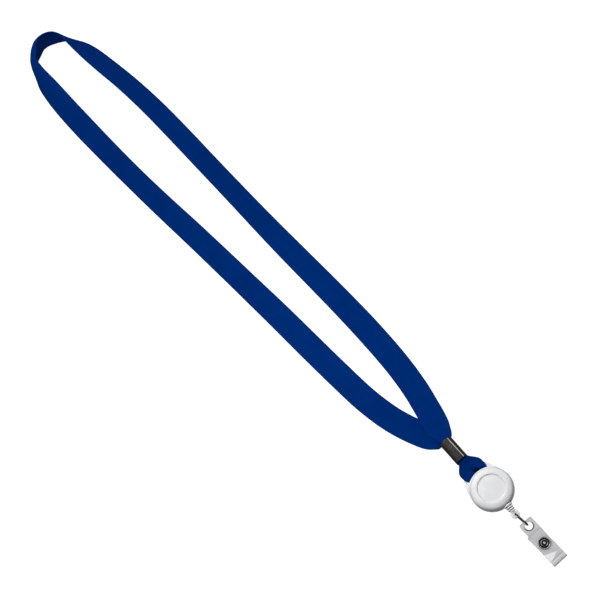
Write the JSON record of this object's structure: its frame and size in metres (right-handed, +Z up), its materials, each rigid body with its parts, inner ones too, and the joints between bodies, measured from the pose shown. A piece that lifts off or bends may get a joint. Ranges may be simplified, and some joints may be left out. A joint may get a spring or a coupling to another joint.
{
  "type": "lanyard",
  "caption": "Neck lanyard of flat blue woven strap with a metal crimp, a white retractable badge reel, a wire link and a vinyl badge strap with a press snap.",
  "frame": {"origin": "centre of the footprint, on the surface that the lanyard lies on", "axes": "+X from the neck end of the strap to the badge strap, +Z up from the surface; +Y completes the right-handed set"},
  "size_m": [0.5591, 0.0639, 0.0184],
  "materials": {
    "strap_fabric": "flat woven polyester, matt with a soft sheen",
    "crimp_metal": "black-nickel plated, pressed texture in the middle",
    "reel_white": "moulded, satin gloss",
    "reel_frosted": "frosted, slightly see-through",
    "fitting_plastic": "moulded, satin",
    "vinyl": "clear grey flexible vinyl",
    "snap_metal": "dark nickel plated",
    "wire_metal": "nickel plated wire",
    "spring_steel": "bright spring steel",
    "cord": "braided nylon"
  },
  "bodies": {
    "strap": {"neck_strap": "strap_fabric", "crimp_sleeve": "crimp_metal", "reel_loop": "strap_fabric"},
    "reel_case": {"reel_front_cover": "reel_white", "reel_back_cover": "reel_frosted", "mainspring": "spring_steel", "cord_run": "cord"},
    "spool": {"spool": "reel_white", "cord_winding": "cord"},
    "cord_end": {"cord_end_fitting": "fitting_plastic", "cord_knot": "cord", "cord_lead": "cord"},
    "link": {"wire_link": "wire_metal"},
    "clip": {"clip_strap_base": "vinyl", "clip_strap_fold": "vinyl", "snap_stud": "snap_metal", "snap_post": "snap_metal"},
    "flap": {"clip_strap_flap": "vinyl", "snap_cap": "snap_metal", "snap_socket": "snap_metal", "snap_ring_spring": "spring_steel"}
  },
  "joints": [
    {"name": "reel_swing", "type": "hinge", "parent": "strap", "child": "reel_case", "pos_m": [0.1877, 0.0011, 0.00245], "axis": [0, -1, 0], "range_deg": [0, 75], "deforming": ["reel_loop"]},
    {"name": "cord_pull", "type": "slide", "parent": "reel_case", "child": "cord_end", "axis": [0.9962, -0.0872, 0], "range_m": [0, 0.86], "stiffness_N_per_m": 0.5, "springref_m": -0.8},
    {"name": "spool_turn", "type": "hinge", "parent": "reel_case", "child": "spool", "pos_m": [0.2074, 0.0011, 0.0045], "axis": [0, 0, 1], "range_deg": [0, 4480]},
    {"name": "link_swing", "type": "hinge", "parent": "cord_end", "child": "link", "pos_m": [0.23506, 0.00051, 0.0039], "axis": [0.0645, -0.9979, 0], "range_deg": [0, 75]},
    {"name": "clip_turn", "type": "hinge", "parent": "link", "child": "clip", "pos_m": [0.24334, 0.00104, 0.0022], "axis": [0, 0, 1], "range_deg": [-75, 75]},
    {"name": "flap_open", "type": "hinge", "parent": "clip", "child": "flap", "pos_m": [0.27724, -0.00022, 0.004], "axis": [0.0297, 0.9996, 0], "range_deg": [0, 170], "deforming": ["clip_strap_fold"]}
  ],
  "couplings": [
    {"joint": "spool_turn", "follows": "cord_pull", "rad_per_m": 90.9}
  ]
}
